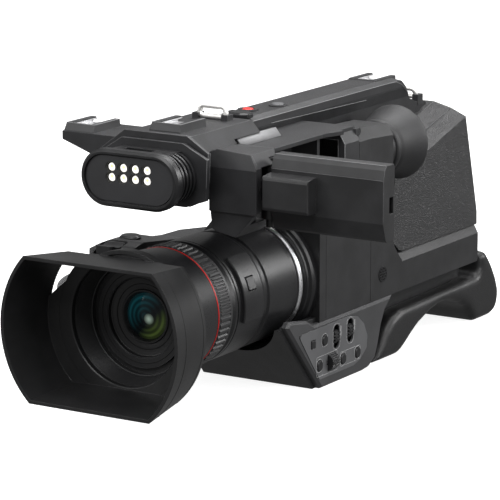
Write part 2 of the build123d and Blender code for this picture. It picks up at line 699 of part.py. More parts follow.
def shoe_seat(name):
    """Raised seat around one shoe rail, with a sloped front, sunk into the piece it stands on."""
    x, front, rear, base = SHOES[name]
    low = base - SEAT_SINK
    top = base + SEAT_RISE
    seat = end_prism([(x - 11.3, low), (x + 11.3, low), (x + 11, base), (x + 10.5, top), (x - 10.5, top),
                      (x - 11, base)], (front - 4, rear))
    slope = side_prism([(front - 3.6, low), (front - 3.4, base), (front - 1.2, top), (rear, top),
                        (rear, low)], (x - 12, x + 12))
    return (seat & slope) - shoe_pocket(name)


def shoe_pocket(name):
    """Room for one rail, with a narrower mouth above it, open at the rear."""
    x, front, rear, base = SHOES[name]
    half = SHOE_SLOT / 2 + SHOE_SHEET + 0.02
    return end_prism([(x - half, base), (x + half, base), (x + half, base + 3.52), (x + 7, base + 3.52),
                      (x + 7, base + 9), (x - 7, base + 9), (x - 7, base + 3.52), (x - half, base + 3.52)],
                     (front, rear + 3))


def shoe_rails():
    """C-section rails, open at the rear, that an accessory foot slides into."""
    rails = []
    half = SHOE_SLOT / 2
    out = half + SHOE_SHEET
    lip = SHOE_MOUTH / 2
    for x, front, rear, base in SHOES.values():
        floor = base + SHOE_SHEET
        under = base + 2.9
        top = base + 3.5
        section = [(x - out, base), (x + out, base), (x + out, top), (x + lip, top), (x + lip, under),
                   (x + half, under), (x + half, floor), (x - half, floor), (x - half, under),
                   (x - lip, under), (x - lip, top), (x - out, top)]
        rails.append(end_prism(section, (front, rear)))
    return rails


EYELETS = {"front": (-70.5, 180.3, -5.0), "rear": (172.0, 158.8, 25.0)}
EYELET_HALF = 10.6
EYELET_TALL = 6.2
WIRE_R = 1.6


def eyelet_ring(name, wire):
    """Closed trapezoid ring of round wire, standing on its long side."""
    y, z, lean = EYELETS[name]
    path = FilletPolyline((-EYELET_HALF, 0, 0), (-EYELET_HALF + 2.2, 0, EYELET_TALL),
                          (EYELET_HALF - 2.2, 0, EYELET_TALL), (EYELET_HALF, 0, 0), radius=2.4, close=True)
    ring = sweep(Plane(origin=path @ 0, z_dir=path % 0) * Circle(wire), path=path)
    return Pos(0, y, z) * (Rot(lean, 0, 0) * ring)


def strap_eyelets():
    """Loops of round wire, front and rear, for a shoulder strap."""
    return [eyelet_ring(name, WIRE_R) for name in EYELETS]


def eyelet_lugs(name):
    """Pair of lugs that hold the lower corners of one wire loop."""
    y, z, _ = EYELETS[name]
    lugs = Part()
    for x in (-EYELET_HALF, EYELET_HALF):
        lugs += block((x - 2.2, x + 2.2), (y - 3.6, y + 3.6), (z - 5, z + 1.9))
    return lugs - eyelet_ring(name, WIRE_R + 0.05)


# ---- screen -----------------------------------------------------------------------------
def lcd_hinge_block():
    """Housing beside the handle that carries the screen's swing axis."""
    upper = end_prism([(30.2, 133), (62, 133), (63.5, 134.5), (63.5, 161), (58, 169), (34, 170.5),
                       (30.2, 168)],
                      (-122, -90))
    upper = upper & side_prism([(-122, 130), (-122, 160), (-118.5, 172), (-90, 169), (-90, 130)], (0, 80))
    lower = end_prism([(31.5, 122), (34, 120.5), (48, 118), (62, 133), (30.2, 133)], (-120.5, -90))
    form = upper + lower
    recess = block((54, 70), (-116, -80), (126, 161.5))
    reach = rod_z(9.5, (126, 161.5), *LCD_SWING)
    pin_hole = rod_z(2.55, (118, 165.5), *LCD_SWING)
    shoulder = plan_prism([(57, -91.6), (70, -104.5), (70, -80), (57, -80)], (100, 175))
    return form - recess - reach - shoulder - pin_hole


def lcd_yoke():
    """Upright pin with a knuckle, and the tilt shaft that enters the screen."""
    x, y = LCD_SWING
    pin = rod_z(2.5, (122.5, 165), x, y)
    knuckle = rod_z(5.4, (128, 160), x, y)
    arm = block((x, 66.4), (LCD_TILT[0] - 3, y + 1), (LCD_TILT[1] - 6, LCD_TILT[1] + 6))
    shaft = rod_x(3, (64, 80), *LCD_TILT)
    return (pin + knuckle + arm + shaft)


def lcd_section(inset):
    """End view of the panel: flat back with a bevelled top band and a bevelled foot."""
    front, rear = LCD_Y
    low, high = LCD_Z
    return [(front + inset, 135), (front + inset, 161), (front + 1.8 + inset, high - 2.6 - inset),
            (front + 4 + inset, high - inset), (rear - 1 - inset, high - inset),
            (rear - inset, high - 1.5 - inset), (rear - inset, low + 1.5 + inset),
            (rear - 1 - inset, low + inset), (front + 4.5 + inset, low + inset),
            (front + 3.2 + inset, low + 1.4 + inset)]


def lcd_housing():
    inner = (LCD_X[0] + 1.8, LCD_X[1] - 1.8)
    rear = LCD_Y[1]
    shell = side_prism(lcd_section(0), LCD_X) - side_prism(lcd_section(1.8), inner)
    boss = side_prism([(-121.5, 138), (-121.5, 156.2), (-120.5, 157.5), (-111.5, 158.5),
                       (-111.5, 136.6), (-120.5, 137)], (67, 99))
    boss = edge_break(boss, Axis.Y, 0, 0.8)
    window = block(LCD_WINDOW_X, (rear - 3.5, rear + 1), LCD_WINDOW_Z)
    latch = block((LCD_X[1] - 2, LCD_X[1] + 1), (rear - 6, rear - 1.5), (140, 150))
    core = block((68, 82), (-112, -105), (141, 154))
    return (shell + boss + core) - window - latch - rod_x(3.05, (60, 80.5), *LCD_TILT)


LCD_WINDOW_X = (75.0, 142.8)
LCD_WINDOW_Z = (127.5, 166.5)


def lcd_screen():
    x, z = LCD_WINDOW_X, LCD_WINDOW_Z
    rear = LCD_Y[1]
    return block((x[0] + 0.1, x[1] - 0.1), (rear - 1.8, rear - 0.2), (z[0] + 0.1, z[1] - 0.1))


# ---- viewfinder -------------------------------------------------------------------------
KNUCKLE_R = 2.6
KNUCKLES = ((26.0, 31.0), (49.0, 54.0))


def vf_arm():
    """Bracket along the left of the handle, with the hinge frame of the viewfinder at its end."""
    top = plan_prism([(14, -59.6), (24.4, -59.6), (24.4, -89.6), (50, -89.6), (50, -21), (55, -4),
                      (55, 14), (14, 14)], (163.6, 166.2))
    wall = block((24.4, 28), (-89.6, 14), (130, 163.6))
    divider = block((28, 47), (-23, -20), (130, 163.6))
    frame = end_prism([(24.4, 128), (56, 128), (56, 157.5), (51, 165.5), (24.4, 165.5)], (-4, 14))
    frame -= block((29, 51), (-30, 30), (133, 160))
    strip = end_prism([(24.4, 165.5), (30.5, 166), (26.4, 171), (24.4, 171)], (-86, -40))
    arm = (top - block((52, 60), (-4, 20), (161, 170))) + wall + divider + frame + strip
    y, z = VF_PIVOT
    for x in KNUCKLES:
        arm += rod_x(KNUCKLE_R, x, y, z) + block(x, (13, y), (z - 2.2, z + 2.2))
    return arm - rod_x(1.25, (20, 60), y, z)


def vf_section(half, z):
    """Front view of the viewfinder tube: square with bevelled upper corners."""
    return Polygon((VF_X - half, z - half), (VF_X + half, z - half), (VF_X + half, z + half - 7),
                   (VF_X + half - 5, z + half), (VF_X - half + 5, z + half), (VF_X - half, z + half - 7),
                   align=None)


def vf_body():
    """Tube hinged at its upper front edge, so that the eyepiece end swings up."""
    front = Plane.XZ.offset(-15) * vf_section(15.6, VF_Z)
    middle = Plane.XZ.offset(-30) * vf_section(15.6, VF_Z)
    rear = Plane.XZ.offset(-56) * vf_section(17.2, EYE_Z + 1)
    tube = loft([front, middle], ruled=True) + loft([middle, rear], ruled=True)
    tube += rod_y(16.6, (55, 61), VF_X, EYE_Z)
    for low, high in KNUCKLES:
        tube -= block((low - GAP, high + GAP), (10, VF_PIVOT[0] + KNUCKLE_R + GAP),
                      (VF_PIVOT[1] - KNUCKLE_R - GAP, 170))
    barrel = rod_x(KNUCKLE_R, (KNUCKLES[0][1] + GAP, KNUCKLES[1][0] - GAP), *VF_PIVOT)
    pin = rod_x(1.2, (KNUCKLES[0][0], KNUCKLES[1][1]), *VF_PIVOT)
    bore = rod_y(11, (18, 70), VF_X, EYE_Z)
    return (tube + barrel + pin) - bore


def vf_lens():
    return rod_y(11, (50, 54), VF_X, EYE_Z)


def vf_eyecup():
    """Soft cone that opens into a wide round eye rest."""
    return turned([(13.5, 61.1), (17.4, 61.1), (18.4, 66), (20.2, 75), (23.4, 84.5), (24.6, 87.6),
                   (24.4, 89.2), (22.8, 89.6), (19.6, 87), (15.6, 79), (13, 70)], VF_X, EYE_Z)


# ---- grip -------------------------------------------------------------------------------
def grip_form():
    """Hand grip on the right side, rounded like a half barrel and highest at its front."""
    plan = [(-HALF_WIDTH, -100), (-56, -106), (-72, -102), (-84, -84), (-89, -50), (-87, 20),
            (-76, 44), (-58, 54), (-HALF_WIDTH, 54)]
    end = [(-HALF_WIDTH, 22), (-66, 26), (-84, 40), (-90, 56), (-89, 78), (-80, 90), (-70, 96.5),
           (-HALF_WIDTH, 99.5)]
    side = [(-108, 70), (-108, 86), (-101, 91.4), (-91, 96), (-82, 97.6), (-46, 93.2), (-16, 85.2),
            (0, 83), (56, 81.5), (56, 22), (-62, 22), (-92, 46)]
    form = plan_prism(plan, (22, 100), 4) & end_prism(end, (-110, 60))
    return form & side_prism(side, (-92, -40))


def grip_body():
    """Hollow grip, with wells for the photo button and the zoom rocker in its top."""
    form = grip_form()
    hollow = block((-76, -HALF_WIDTH - 4), (-58, 40), (34, 70))
    neck = rod_y(45.5, (-112, BODY_FRONT + 0.2), 0, LENS_Z)
    x, y, z = ROCKER
    well = plan_prism([(x - 8.3, y - 9.4), (x + 8.3, y - 9.4), (x + 8.3, y + 9.4), (x - 8.3, y + 9.4)],
                      (z - 3.2, 110), 3)
    well += rod_z(PHOTO_R + GAP, (90.3, 110), *PHOTO)
    return (form - hollow - neck - well) + rod_x(ROCKER_PIN, (x - 9.2, x + 9.2), y, z)


ROCKER = (-62.0, -93.0, 90.6)   # centre of the zoom rocker's pivot pin
ROCKER_PIN = 1.25
PHOTO = (-61.0, -72.0)
PHOTO_R = 6.9


def photo_button():
    """Round release button on top of the grip."""
    return edge_break(rod_z(PHOTO_R, (91.8, 98.8), *PHOTO), Axis.Z, -1, 1.2)


def zoom_rocker():
    """Seesaw key on top of the grip, dished for a finger."""
    hub = rod_x(2.4, (-6.5, 6.5), 0, 0)
    top = plan_prism([(-7, -8), (7, -8), (7, 8), (-7, 8)], (0.6, 6.0), 3)
    dish = rod_x(12, (-20, 20), 0, 16.5)
    return Pos(*ROCKER) * (hub + (top - dish) - rod_x(ROCKER_PIN + 0.05, (-10, 10), 0, 0))


def hand_strap():
    """Padded band around the outside of the grip, with room for a hand."""
    route = FilletPolyline((-70, -90), (-92, -106), (-112, -80), (-118, -36), (-116, 10), (-96, 50),
                           (-62, 48), radius=11)
    band = extrude(Plane.XY.offset(40) * trace(route, 5), amount=26, dir=(0, 0, 1))
    return band - grip_form()


# ---- write the parts --------------------------------------------------------------------
def screws():
    """Screws that hold the pad to its bracket."""
    return [rod_z(1.5, (23.6, 36), x, y) + rod_z(2.9, (21.6, 23.6), x, y) for x, y in PAD_SCREWS]


PARTS = {
    "lens_hood": lens_hood, "front_barrel": front_barrel, "lens_bezel": lens_bezel,
    "front_element": front_element,
    "inner_lenses": inner_lenses, "iris_unit": iris_unit, "lens_tube": lens_tube,
    "red_ring": red_ring, "focus_ring": focus_ring, "button_barrel": button_barrel,
    "lens_button": lens_button,
    "rear_barrel": rear_barrel, "chrome_ring": chrome_ring, "lens_base": lens_base,
    "left_case": left_case, "right_case": right_case, "speaker_grille": speaker_grille,
    "lower_cover": lower_cover, "tripod_plate": tripod_plate,
    "control_block": control_block, "control_plate": control_plate, "square_button": square_button,
    "menu_dial": menu_dial, "circuit_boards": circuit_boards,
    "shoulder_pad": shoulder_pad, "pad_bracket": pad_bracket, "screws": screws,
    "rear_box": rear_box, "battery_pack": battery_pack, "battery_latch": battery_latch,
    "handle_core": handle_core, "handle_cover": handle_cover, "record_button": record_button,
    "menu_key": menu_key,
    "handle_zoom_lever": handle_zoom_lever,
    "front_housing": front_housing, "heat_sink": heat_sink, "light_bezel": light_bezel,
    "light_panel": light_panel, "light_leds": light_leds, "shoe_rails": shoe_rails,
    "strap_eyelets": strap_eyelets,
    "lcd_hinge_block": lcd_hinge_block, "lcd_yoke": lcd_yoke, "lcd_housing": lcd_housing,
    "lcd_screen": lcd_screen,
    "vf_arm": vf_arm, "vf_body": vf_body, "vf_lens": vf_lens, "vf_eyecup": vf_eyecup,
    "grip_body": grip_body, "zoom_rocker": zoom_rocker, "photo_button": photo_button,
    "hand_strap": hand_strap,
}
for name, centre in OVALS.items():
    PARTS[name] = lambda centre=centre: oval_button(centre)
for name, centre in SLOTS.items():
    PARTS[name] = lambda centre=centre: slide_switch(centre)


def as_solids(made):
    """One compound of separate solids, whatever a part function returns."""
    pieces = made if isinstance(made, list) else [made]
    solids = [solid for piece in pieces for solid in piece.solids()]
    return solids[0] if len(solids) == 1 else Compound(children=solids)


os.makedirs("parts", exist_ok=True)
for name, make in PARTS.items():
    export_step(as_solids(make()), f"parts/{name}.step")
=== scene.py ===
import math

import bmesh
import bpy
from mathutils import Matrix, Vector


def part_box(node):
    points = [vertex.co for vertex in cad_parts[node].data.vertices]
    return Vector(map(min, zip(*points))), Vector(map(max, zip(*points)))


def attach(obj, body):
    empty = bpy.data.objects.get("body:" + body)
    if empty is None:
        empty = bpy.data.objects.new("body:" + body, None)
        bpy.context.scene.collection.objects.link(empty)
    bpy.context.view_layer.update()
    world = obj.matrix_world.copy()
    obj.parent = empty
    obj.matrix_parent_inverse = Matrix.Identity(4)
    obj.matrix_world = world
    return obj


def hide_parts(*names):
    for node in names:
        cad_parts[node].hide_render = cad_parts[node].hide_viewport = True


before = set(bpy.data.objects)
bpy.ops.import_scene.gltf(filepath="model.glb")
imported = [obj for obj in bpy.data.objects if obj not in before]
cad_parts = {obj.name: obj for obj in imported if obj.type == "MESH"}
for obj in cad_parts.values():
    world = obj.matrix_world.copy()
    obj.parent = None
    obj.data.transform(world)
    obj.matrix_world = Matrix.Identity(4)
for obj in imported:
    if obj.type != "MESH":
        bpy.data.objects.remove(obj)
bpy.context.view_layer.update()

MM = 0.001
WAVE_SCALE = 0.314         # a wave texture's scale times its pitch in metres

# ---- view -------------------------------------------------------------------------------
VIEW_FROM = Vector((1.0355, -1.6904, 0.5155))
VIEW_AZIMUTH = math.radians(31.9)
VIEW_ELEVATION = math.radians(12.32)
VIEW_LENS = 227.3
SENSOR = 36.0

# ---- places taken from the frame --------------------------------------------------------
LENS_Z = (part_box("lens_tube")[0].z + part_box("lens_tube")[1].z) / 2


# ---- node helpers -----------------------------------------------------------------------
class Nodes:
    """A material's node tree, with short calls for the nodes that these materials share."""

    def __init__(self, name):
        self.material = bpy.data.materials.new(name)
        self.material.use_nodes = True
        self.tree = self.material.node_tree
        self.shader = self.tree.nodes["Principled BSDF"]
        self.place = self.tree.nodes.new("ShaderNodeTexCoord").outputs["Object"]

    def link(self, source, target):
        self.tree.links.new(source, target)

    def node(self, kind, **inputs):
        made = self.tree.nodes.new(kind)
        for key, value in inputs.items():
            made.inputs[key.replace("_", " ")].default_value = value
        return made

    def stretched(self, scale):
        """Object coordinates in metres, multiplied along each axis."""
        mapping = self.node("ShaderNodeMapping", Scale=scale)
        self.link(self.place, mapping.inputs["Vector"])
        return mapping.outputs["Vector"]

    def noise(self, size, detail=2.0, vector=None):
        """Noise whose features are about that many metres across."""
        made = self.node("ShaderNodeTexNoise", Scale=1 / size, Detail=detail)
        self.link(vector or self.place, made.inputs["Vector"])
        return made.outputs["Fac"]

    def cells(self, size, feature="F1", vector=None):
        made = self.node("ShaderNodeTexVoronoi", Scale=1 / size)
        made.feature = feature
        self.link(vector or self.place, made.inputs["Vector"])
        return made.outputs["Distance"]

    def wave(self, pitch, direction, vector=None, rings=False, distortion=0.0):
        """Waves that repeat every pitch metres: bands across a direction, or rings around it."""
        made = self.node("ShaderNodeTexWave", Scale=WAVE_SCALE / pitch, Distortion=distortion)
        if rings:
            made.wave_type = "RINGS"
            made.rings_direction = direction
        else:
            made.bands_direction = direction
        self.link(vector or self.place, made.inputs["Vector"])
        return made.outputs["Fac"]

    def spread(self, value, low, high, start=0.35, end=0.65):
        """A texture value remapped to run from low to high."""
        made = self.node("ShaderNodeMapRange", From_Min=start, From_Max=end, To_Min=low, To_Max=high)
        self.link(value, made.inputs["Value"])
        return made.outputs["Result"]

    def blend(self, factor, one, two):
        """Colour mix whose ends are either colours or linked outputs."""
        made = self.node("ShaderNodeMix")
        made.data_type = "RGBA"
        self.link(factor, made.inputs[0])
        for socket, value in ((6, one), (7, two)):
            if isinstance(value, tuple):
                made.inputs[socket].default_value = (*value, 1)
            else:
                self.link(value, made.inputs[socket])
        return made.outputs[2]

    def rounded(self, radius):
        """Normal with every hard edge softened by that radius."""
        made = self.node("ShaderNodeBevel", Radius=radius)
        made.samples = 4
        return made.outputs["Normal"]

    def bump(self, height, depth, normal=None):
        made = self.node("ShaderNodeBump", Strength=1.0, Distance=depth)
        self.link(height, made.inputs["Height"])
        if normal:
            self.link(normal, made.inputs["Normal"])
        return made.outputs["Normal"]

    def set(self, **values):
        for key, value in values.items():
            self.shader.inputs[key.replace("_", " ")].default_value = value


def lighter(colour, factor):
    return tuple(min(1.0, channel * factor) for channel in colour)


def moulded(name, colour, rough, grain=0.4 * MM, depth=0.03 * MM, mottle=0.25, edge=0.35 * MM, **sockets):
    """Moulded plastic or rubber: fine grain, faint mottling and softened edges that catch the light."""
    n = Nodes(name)
    cloud = n.noise(18 * MM, 4.0)
    fine = n.noise(grain, 3.0)
    n.link(n.blend(n.spread(cloud, 0, 1), lighter(colour, 1 - mottle), lighter(colour, 1 + mottle)),
           n.shader.inputs["Base Color"])
    n.link(n.spread(fine, rough - 0.06, rough + 0.06), n.shader.inputs["Roughness"])
    n.link(n.bump(fine, depth, n.rounded(edge)), n.shader.inputs["Normal"])
    n.set(**sockets)
    return n.material


def grained(name, colour, rough, cell=1.1 * MM, depth=0.16 * MM):
    """Moulded plastic with a leather-like grain of small raised cells."""
    n = Nodes(name)
    pits = n.cells(cell, "DISTANCE_TO_EDGE")
    fine = n.noise(0.35 * MM, 2.0)
    raised = n.spread(pits, 0, 1, 0.0, 0.28)
    n.link(n.blend(raised, lighter(colour, 0.7), lighter(colour, 1.25)), n.shader.inputs["Base Color"])
    n.link(n.spread(fine, rough - 0.07, rough + 0.07), n.shader.inputs["Roughness"])
    n.link(n.bump(fine, 0.02 * MM, n.bump(raised, depth, n.rounded(0.8 * MM))), n.shader.inputs["Normal"])
    return n.material


def metal(name, colour, rough, along, depth=0.01 * MM, edge=0.25 * MM):
    """Metal with fine brushing drawn out along one axis."""
    n = Nodes(name)
    scale = [1.0, 1.0, 1.0]
    scale[along] = 0.04
    streaks = n.noise(0.25 * MM, 3.0, n.stretched(scale))
    cloud = n.noise(9 * MM, 3.0)
    tone = n.blend(n.spread(cloud, 0, 1), lighter(colour, 0.88), lighter(colour, 1.08))
    n.link(tone, n.shader.inputs["Base Color"])
    n.link(n.spread(streaks, rough - 0.08, rough + 0.08), n.shader.inputs["Roughness"])
    n.link(n.bump(streaks, depth, n.rounded(edge)), n.shader.inputs["Normal"])
    n.set(Metallic=1.0)
    return n.material


def turned_rings(name, colour, rough, pitch, depth):
    """Black surface with fine grooves turned around the lens axis, as on baffles."""
    n = Nodes(name)
    grooves = n.wave(pitch, "Y")
    fine = n.noise(0.3 * MM, 2.0)
    n.link(n.blend(fine, lighter(colour, 0.8), lighter(colour, 1.3)), n.shader.inputs["Base Color"])
    n.link(n.spread(fine, rough - 0.05, rough + 0.05), n.shader.inputs["Roughness"])
    n.link(n.bump(grooves, depth, n.rounded(0.3 * MM)), n.shader.inputs["Normal"])
    return n.material


def glass(name, tint, rough=0.02, film=0.0, see_through=1.0):
    """Coated optical glass with faint dust."""
    n = Nodes(name)
    dust = n.noise(1.2 * MM, 5.0)
    n.link(n.blend(n.spread(dust, 0, 1), tint, lighter(tint, 1.12)), n.shader.inputs["Base Color"])
    n.link(n.spread(dust, rough, rough + 0.03), n.shader.inputs["Roughness"])
    n.set(IOR=1.6, Transmission_Weight=see_through, Coat_Weight=1.0, Coat_Roughness=0.02)
    n.set(Thin_Film_Thickness=film, Thin_Film_IOR=1.38)
    return n.material


def painted_reflection_glass(name):
    """Dark front glass with painted reflections: a teal tint towards one upper edge, yellow-green low on the other,
    faint painted ring reflections and a painted highlight spot, all given a faint glow.
    """
    n = Nodes(name)
    split = n.node("ShaderNodeSeparateXYZ")
    n.link(n.place, split.inputs[0])
    slant = n.node("ShaderNodeMath")
    slant.operation = "SUBTRACT"
    n.link(split.outputs["Z"], slant.inputs[0])
    n.link(split.outputs["X"], slant.inputs[1])
    centred = n.node("ShaderNodeMapping", Location=(0, 0, -LENS_Z))
    n.link(n.place, centred.inputs["Vector"])
    rings = n.wave(3.4 * MM, "Y", centred.outputs["Vector"], rings=True)
    # painted reflections: light and dark rings around the lens axis
    ring_highlight = n.spread(rings, 0.30, 0.9, 0.2, 0.95)
    teal = n.spread(slant.outputs["Value"], 0, 1, LENS_Z - 2 * MM, LENS_Z + 15 * MM)
    green = n.spread(slant.outputs["Value"], 0, 1, LENS_Z - 5 * MM, LENS_Z - 15 * MM)
    upper = n.blend(teal, (0.006, 0.010, 0.011), (0.010, 0.090, 0.110))
    reflection_tint = n.blend(green, upper, (0.090, 0.135, 0.030))
    shaded = n.blend(ring_highlight, (0.003, 0.004, 0.005), reflection_tint)
    gap = n.node("ShaderNodeVectorMath")
    gap.operation = "DISTANCE"
    flat = n.node("ShaderNodeVectorMath")
    flat.operation = "MULTIPLY"
    flat.inputs[1].default_value = (1, 0, 1)
    n.link(n.place, flat.inputs[0])
    n.link(flat.outputs["Vector"], gap.inputs[0])
    gap.inputs[1].default_value = (2.6 * MM, 0, LENS_Z - 1.2 * MM)
    # painted highlight: a pale spot at a fixed place on the glass
    painted_glint = n.spread(gap.outputs["Value"], 0.8, 0, 0.5 * MM, 3.6 * MM)
    colour = n.blend(painted_glint, shaded, (0.62, 0.80, 0.66))
    n.link(colour, n.shader.inputs["Base Color"])
    n.link(colour, n.shader.inputs["Emission Color"])
    n.link(n.spread(n.noise(1.5 * MM, 4.0), 0.10, 0.16), n.shader.inputs["Roughness"])
    # the painted reflections glow faintly, though the glass is no lamp
    n.set(IOR=1.22, Coat_Weight=0.25, Coat_Roughness=0.12, Emission_Strength=0.30)
    return n.material


def display(name):
    """Dark display behind a smooth cover."""
    n = Nodes(name)
    haze = n.noise(14 * MM, 3.0)
    n.link(n.blend(n.spread(haze, 0, 1), (0.004, 0.004, 0.005), (0.010, 0.010, 0.013)), n.shader.inputs["Base Color"])
    n.link(n.spread(haze, 0.06, 0.11), n.shader.inputs["Roughness"])
    n.set(Coat_Weight=1.0, Coat_Roughness=0.03)
    return n.material


def phosphor(name, pale, warm, strength):
    """Lit LED lens with a faint speckle."""
    n = Nodes(name)
    speckle = n.noise(0.5 * MM, 2.0)
    colour = n.blend(n.spread(speckle, 0, 1), pale, warm)
    n.link(colour, n.shader.inputs["Base Color"])
    n.link(colour, n.shader.inputs["Emission Color"])
    n.link(n.spread(speckle, 0.25, 0.4), n.shader.inputs["Roughness"])
    n.set(Emission_Strength=strength)
    return n.material


def circuit(name):
    """Green board with pale tracks."""
    n = Nodes(name)
    tracks = n.cells(3.5 * MM, "DISTANCE_TO_EDGE")
    n.link(n.blend(n.spread(tracks, 0, 1, 0.05, 0.12), (0.06, 0.26, 0.10), (0.01, 0.09, 0.03)),
           n.shader.inputs["Base Color"])
    n.link(n.spread(n.noise(0.6 * MM), 0.35, 0.5), n.shader.inputs["Roughness"])
    return n.material


def woven(name, colour, pitch=0.9 * MM):
    """Woven webbing: two crossing sets of raised threads."""
    n = Nodes(name)
    join = n.node("ShaderNodeMath")
    join.operation = "MULTIPLY"
    for socket, direction in enumerate(("Y", "Z")):
        n.link(n.wave(pitch, direction, distortion=0.6), join.inputs[socket])
    weave = join.outputs["Value"]
    n.link(n.blend(weave, lighter(colour, 0.5), lighter(colour, 1.5)), n.shader.inputs["Base Color"])
    n.link(n.spread(weave, 0.95, 0.75, 0, 1), n.shader.inputs["Roughness"])
    n.link(n.bump(weave, 0.25 * MM), n.shader.inputs["Normal"])
    n.set(Sheen_Weight=0.4, Sheen_Roughness=0.5)
    return n.material


# ---- materials --------------------------------------------------------------------------
HOOD = moulded("hood_satin", (0.012, 0.012, 0.0125), 0.40, depth=0.015 * MM, edge=0.5 * MM)
BARREL = moulded("barrel_black", (0.011, 0.011, 0.012), 0.33, depth=0.008 * MM, mottle=0.15)
BAFFLE = turned_rings("lens_baffle", (0.024, 0.024, 0.025), 0.34, 0.55 * MM, 0.10 * MM)
RING = moulded("ring_rubber", (0.030, 0.030, 0.031), 0.44, depth=0.03 * MM, mottle=0.2)
RED = moulded("red_line", (0.62, 0.012, 0.010), 0.32, depth=0.005 * MM, mottle=0.15)
CHROME = metal("chrome_ring", (0.90, 0.90, 0.92), 0.34, 1, 0.0006 * MM)
# front glass whose reflections and highlight are painted into its colour
PAINTED_GLASS = painted_reflection_glass("coated_glass")
CLEAR = glass("clear_glass", (0.85, 0.9, 0.92))
INNER = glass("inner_glass", (0.10, 0.16, 0.17), film=360.0, see_through=0.5)
CASE = moulded("case_dark", (0.017, 0.017, 0.018), 0.45, grain=0.5 * MM, depth=0.05 * MM, edge=0.6 * MM)
GRAIN = grained("case_grained", (0.019, 0.019, 0.020), 0.40)
CONTROL = moulded("control_grey", (0.046, 0.046, 0.048), 0.46, depth=0.025 * MM, mottle=0.12)
PLATE = moulded("plate_grey", (0.150, 0.151, 0.156), 0.36, grain=0.3 * MM, depth=0.015 * MM, mottle=0.1, Metallic=0.4)
KEY = moulded("key_black", (0.012, 0.012, 0.013), 0.34, depth=0.01 * MM)
KEY_GREY = moulded("key_grey", (0.085, 0.086, 0.090), 0.42, depth=0.015 * MM)
KEY_RED = moulded("key_red", (0.72, 0.03, 0.025), 0.30, depth=0.008 * MM)
PAD = grained("pad_leatherette", (0.012, 0.012, 0.0125), 0.40, cell=1.3 * MM, depth=0.05 * MM)
CUP = moulded("eyecup_rubber", (0.015, 0.015, 0.016), 0.58, grain=0.5 * MM, depth=0.05 * MM)
STEEL = metal("wire_steel", (0.88, 0.87, 0.85), 0.52, 0, 0.003 * MM)
SHOE = metal("shoe_steel", (0.66, 0.66, 0.67), 0.45, 1, 0.004 * MM)
MESH = metal("speaker_dark", (0.05, 0.05, 0.052), 0.5, 1)
BASE_METAL = metal("base_aluminium", (0.52, 0.53, 0.54), 0.34, 0)
HANDLE = moulded("handle_dark", (0.018, 0.018, 0.0195), 0.48, grain=0.45 * MM, depth=0.035 * MM, edge=0.55 * MM)
SINK = moulded("heat_sink", (0.011, 0.011, 0.012), 0.38, depth=0.015 * MM)
LIGHT_FACE = moulded("light_face", (0.026, 0.026, 0.028), 0.42, depth=0.01 * MM, mottle=0.1)
LED = phosphor("led_white", (1.0, 0.97, 0.90), (1.0, 0.99, 0.96), 0.9)
LED_CORE = phosphor("led_core", (1.0, 0.80, 0.34), (1.0, 0.88, 0.52), 0.7)
SCREEN = display("screen_dark")
BOARD = circuit("circuit_board")
STRAP = woven("strap_weave", (0.020, 0.020, 0.022))
WEBBING = woven("webbing_weave", (0.030, 0.030, 0.032), 1.3 * MM)
THREAD = moulded("sewing_thread", (0.075, 0.075, 0.080), 0.7, grain=0.2 * MM, depth=0.03 * MM)
# near-black for real seams and parting lines, and for painted shade in the lamp wells and between the steps of the
# lens ring
SEAM_AND_SHADE = moulded("seam_shadow", (0.004, 0.004, 0.004), 0.6, depth=0.01 * MM)
# pale grey for a strip painted as a highlight
HIGHLIGHT_STRIP = moulded("painted_highlight_strip", (0.20, 0.20, 0.205), 0.58, grain=0.3 * MM, depth=0.01 * MM, mottle=0.08)
# grey for lines painted as highlights along edges
EDGE_HIGHLIGHT = moulded("painted_edge_highlight", (0.20, 0.20, 0.205), 0.38, depth=0.01 * MM, mottle=0.1)
# dimmer grey for lines painted as softer highlights along edges and rims
SOFT_HIGHLIGHT = moulded("painted_soft_highlight", (0.075, 0.075, 0.078), 0.40, depth=0.01 * MM, mottle=0.1)
PRINT = moulded("white_print", (0.62, 0.62, 0.62), 0.5, depth=0.004 * MM, mottle=0.06)

LOOKS = {
    HOOD: ["lens_hood"],
    BARREL: ["front_barrel", "button_barrel", "rear_barrel", "lens_base", "lens_tube"],
    BAFFLE: ["lens_bezel"],
    PAINTED_GLASS: ["front_element"],
    INNER: ["inner_lenses"],
    CLEAR: ["vf_lens"],
    RING: ["focus_ring"],
    RED: ["red_ring"],
    CHROME: ["chrome_ring"],
    CASE: ["left_case", "right_case", "lower_cover", "pad_bracket", "grip_body", "lcd_housing", "vf_body"],
    GRAIN: ["rear_box"],
    CONTROL: ["control_block"],
    PLATE: ["control_plate"],
    KEY: ["square_button", "menu_dial", "menu_button", "focus_mode_button", "gain_button", "white_balance_button",
          "shutter_switch", "filter_switch", "iris_unit", "battery_pack", "handle_zoom_lever", "lcd_yoke",
          "photo_button", "zoom_rocker", "lens_button"],
    KEY_GREY: ["menu_key", "battery_latch"],
    KEY_RED: ["record_button"],
    PAD: ["shoulder_pad"],
    CUP: ["vf_eyecup"],
    STEEL: ["strap_eyelets", "screws"],
    SHOE: ["shoe_rails"],
    MESH: ["speaker_grille"],
    BASE_METAL: ["tripod_plate"],
    HANDLE: ["handle_core", "handle_cover", "front_housing", "lcd_hinge_block", "vf_arm"],
    SINK: ["heat_sink", "light_bezel"],
    LIGHT_FACE: ["light_panel"],
    LED: ["light_leds"],
    SCREEN: ["lcd_screen"],
    BOARD: ["circuit_boards"],
    STRAP: ["hand_strap"],
}


def dress(obj, material):
    obj.data.materials.clear()
    obj.data.materials.append(material)
    return obj


def dress_frame():
    for material, names in LOOKS.items():
        for name in names:
            dress(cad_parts[name], material)


